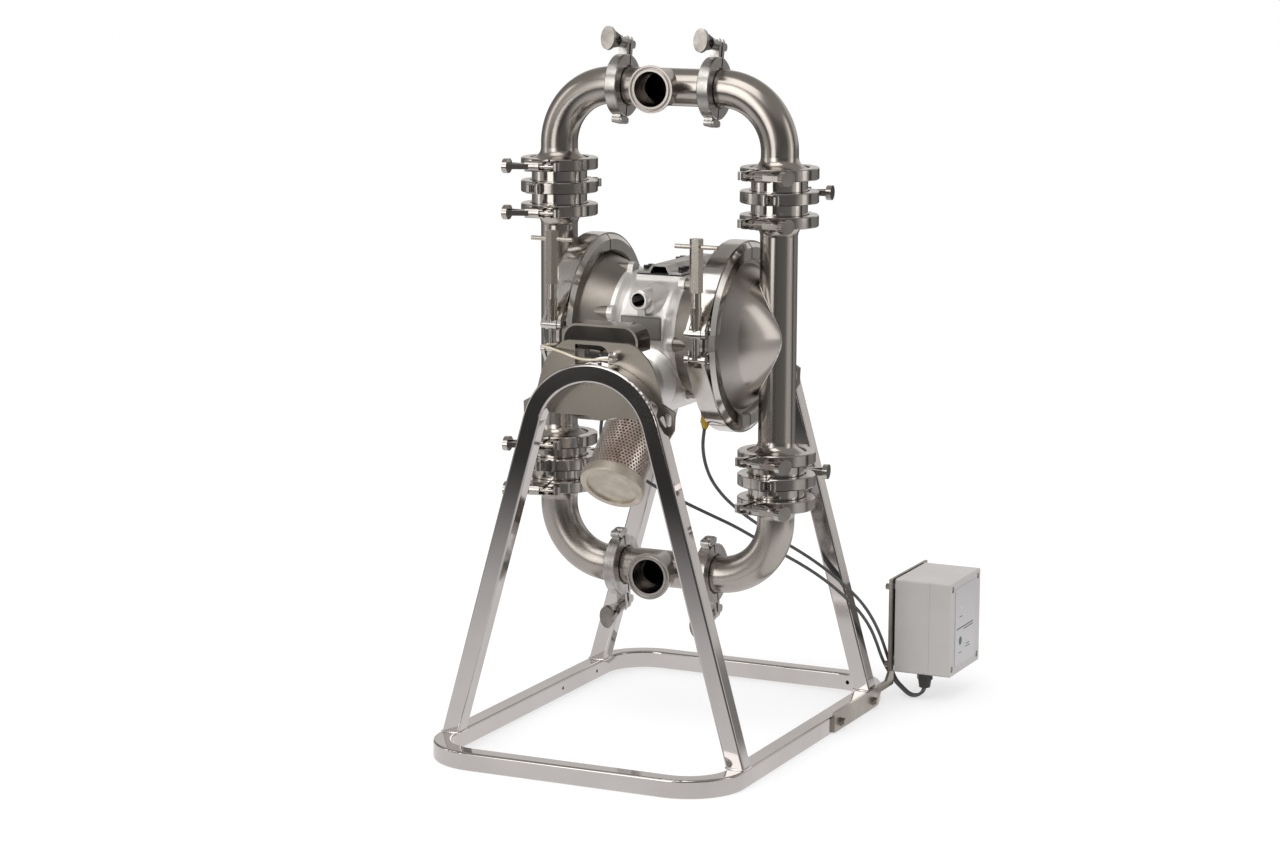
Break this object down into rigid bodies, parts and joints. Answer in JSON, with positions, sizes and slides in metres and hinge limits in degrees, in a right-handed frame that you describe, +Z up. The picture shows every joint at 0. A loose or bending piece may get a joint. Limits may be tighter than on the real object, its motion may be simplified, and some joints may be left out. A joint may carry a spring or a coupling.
{
  "type": "air-operated double-diaphragm pump",
  "caption": "Sanitary air-operated double-diaphragm pump of clamped stainless tube, hung on journals in a tilting tube stand with a leak-detector box.",
  "frame": {"origin": "middle of the whole object's box on the floor, leads and lanyard left out; the tilt axis is 45.4 mm to the +X side and runs along Y", "axes": "+X along the diaphragm shaft towards the detector box, -Y the way the ports face, +Z up"},
  "size_m": [0.5408, 0.747, 0.9711],
  "materials": {
    "stand_tube": "polished",
    "saddle_plate": "satin",
    "lock_pin": "polished",
    "arm": "satin",
    "box_body": "fine texture",
    "gland": "satin",
    "lead": "satin",
    "lanyard": "coated wire",
    "casting": "bead blasted",
    "index_plate": "satin",
    "valve_cover": "satin",
    "muffler_core": "porous",
    "muffler_mesh": "woven",
    "muffler_cap": "satin",
    "air_cover": "satin",
    "diaphragm": "matt",
    "fluid_cover": "polished",
    "band": "polished",
    "band_nut": "brushed",
    "pipe": "polished",
    "clamp": "cast and polished",
    "valve": "polished",
    "ball": "smooth",
    "gasket": "smooth",
    "sensor": "satin",
    "shaft": "ground"
  },
  "bodies": {
    "stand": {"base_frame": "stand_tube", "front_leg_frame": "stand_tube", "rear_leg_frame": "stand_tube", "front_saddle": "saddle_plate", "rear_saddle": "saddle_plate", "box_arm": "arm", "leak_box_base": "box_body", "leak_box_lid": "box_body", "cable_gland": "gland", "left_sensor_lead": "lead", "right_sensor_lead": "lead"},
    "pump": {"air_cover_left": "air_cover", "air_cover_right": "air_cover", "center_section": "casting", "clamp_gaskets": "gasket", "diaphragm_band_left": "band", "diaphragm_band_right": "band", "diaphragm_left": "diaphragm", "diaphragm_right": "diaphragm", "fluid_cover_left": "fluid_cover", "fluid_cover_right": "fluid_cover", "index_plate": "index_plate", "inlet_tee": "pipe", "lanyard": "lanyard", "leak_sensor_left": "sensor", "leak_sensor_right": "sensor", "lower_clamp_left": "clamp", "lower_clamp_right": "clamp", "lower_elbow_left": "pipe", "lower_elbow_right": "pipe", "lower_stack_clamps_left": "clamp", "lower_stack_clamps_right": "clamp", "lower_valve_left": "valve", "lower_valve_right": "valve", "muffler_cap": "muffler_cap", "muffler_core": "muffler_core", "muffler_mesh": "muffler_mesh", "outlet_tee": "pipe", "upper_clamp_left": "clamp", "upper_clamp_right": "clamp", "upper_elbow_left": "pipe", "upper_elbow_right": "pipe", "upper_stack_clamps_left": "clamp", "upper_stack_clamps_right": "clamp", "upper_valve_left": "valve", "upper_valve_right": "valve", "valve_cover": "valve_cover"},
    "lock_pin": {"lock_pin": "lock_pin"},
    "shaft": {"diaphragm_shaft": "shaft"},
    "spool": {"air_spool": "shaft"},
    "upper_left_ball": {"upper_ball_left": "ball"},
    "upper_left_wing_nut": {"upper_clamp_nut_left": "clamp"},
    "upper_right_ball": {"upper_ball_right": "ball"},
    "upper_right_wing_nut": {"upper_clamp_nut_right": "clamp"},
    "lower_left_ball": {"lower_ball_left": "ball"},
    "lower_left_wing_nut": {"lower_clamp_nut_left": "clamp"},
    "lower_right_ball": {"lower_ball_right": "ball"},
    "lower_right_wing_nut": {"lower_clamp_nut_right": "clamp"},
    "left_band_nut": {"band_nut_left": "band_nut"},
    "right_band_nut": {"band_nut_right": "band_nut"}
  },
  "joints": [
    {"name": "pump_tilt", "type": "hinge", "parent": "stand", "child": "pump", "pos_m": [-0.0454, -0.0525, 0.498], "axis": [0, 1, 0], "range_deg": [-15, 15], "deforming": ["left_sensor_lead", "right_sensor_lead", "lanyard"]},
    {"name": "lock_pull", "type": "slide", "parent": "stand", "child": "lock_pin", "axis": [0, -1, 0], "range_m": [0, 0.025], "stiffness_N_per_m": 500, "deforming": ["lanyard"]},
    {"name": "shaft_stroke", "type": "slide", "parent": "pump", "child": "shaft", "axis": [1, 0, 0], "range_m": [-0.012, 0.012], "deforming": ["diaphragm_left", "diaphragm_right"]},
    {"name": "spool_shift", "type": "slide", "parent": "pump", "child": "spool", "axis": [1, 0, 0], "range_m": [-0.012, 0.012]},
    {"name": "upper_left_ball_lift", "type": "slide", "parent": "pump", "child": "upper_left_ball", "axis": [0, 0, 1], "range_m": [0, 0.009]},
    {"name": "upper_right_ball_lift", "type": "slide", "parent": "pump", "child": "upper_right_ball", "axis": [0, 0, 1], "range_m": [0, 0.009]},
    {"name": "lower_left_ball_lift", "type": "slide", "parent": "pump", "child": "lower_left_ball", "axis": [0, 0, 1], "range_m": [0, 0.009]},
    {"name": "lower_right_ball_lift", "type": "slide", "parent": "pump", "child": "lower_right_ball", "axis": [0, 0, 1], "range_m": [0, 0.009]},
    {"name": "left_band_nut_turn", "type": "hinge", "parent": "pump", "child": "left_band_nut", "pos_m": [-0.1509, -0.1915, 0.64], "axis": [0, 0, 1], "continuous": true},
    {"name": "right_band_nut_turn", "type": "hinge", "parent": "pump", "child": "right_band_nut", "pos_m": [0.0601, -0.1915, 0.64], "axis": [0, 0, 1], "continuous": true},
    {"name": "upper_left_wing_nut_turn", "type": "hinge", "parent": "pump", "child": "upper_left_wing_nut", "pos_m": [-0.1134, -0.0426, 0.94513], "axis": [0, 0.9848, -0.1736], "continuous": true},
    {"name": "upper_right_wing_nut_turn", "type": "hinge", "parent": "pump", "child": "upper_right_wing_nut", "pos_m": [0.0226, -0.0426, 0.94513], "axis": [0, 0.9848, -0.1736], "continuous": true},
    {"name": "lower_left_wing_nut_turn", "type": "hinge", "parent": "pump", "child": "lower_left_wing_nut", "pos_m": [-0.1134, -0.0426, 0.16887], "axis": [0, 0.9848, 0.1736], "continuous": true},
    {"name": "lower_right_wing_nut_turn", "type": "hinge", "parent": "pump", "child": "lower_right_wing_nut", "pos_m": [0.0226, -0.0426, 0.16887], "axis": [0, 0.9848, 0.1736], "continuous": true}
  ]
}
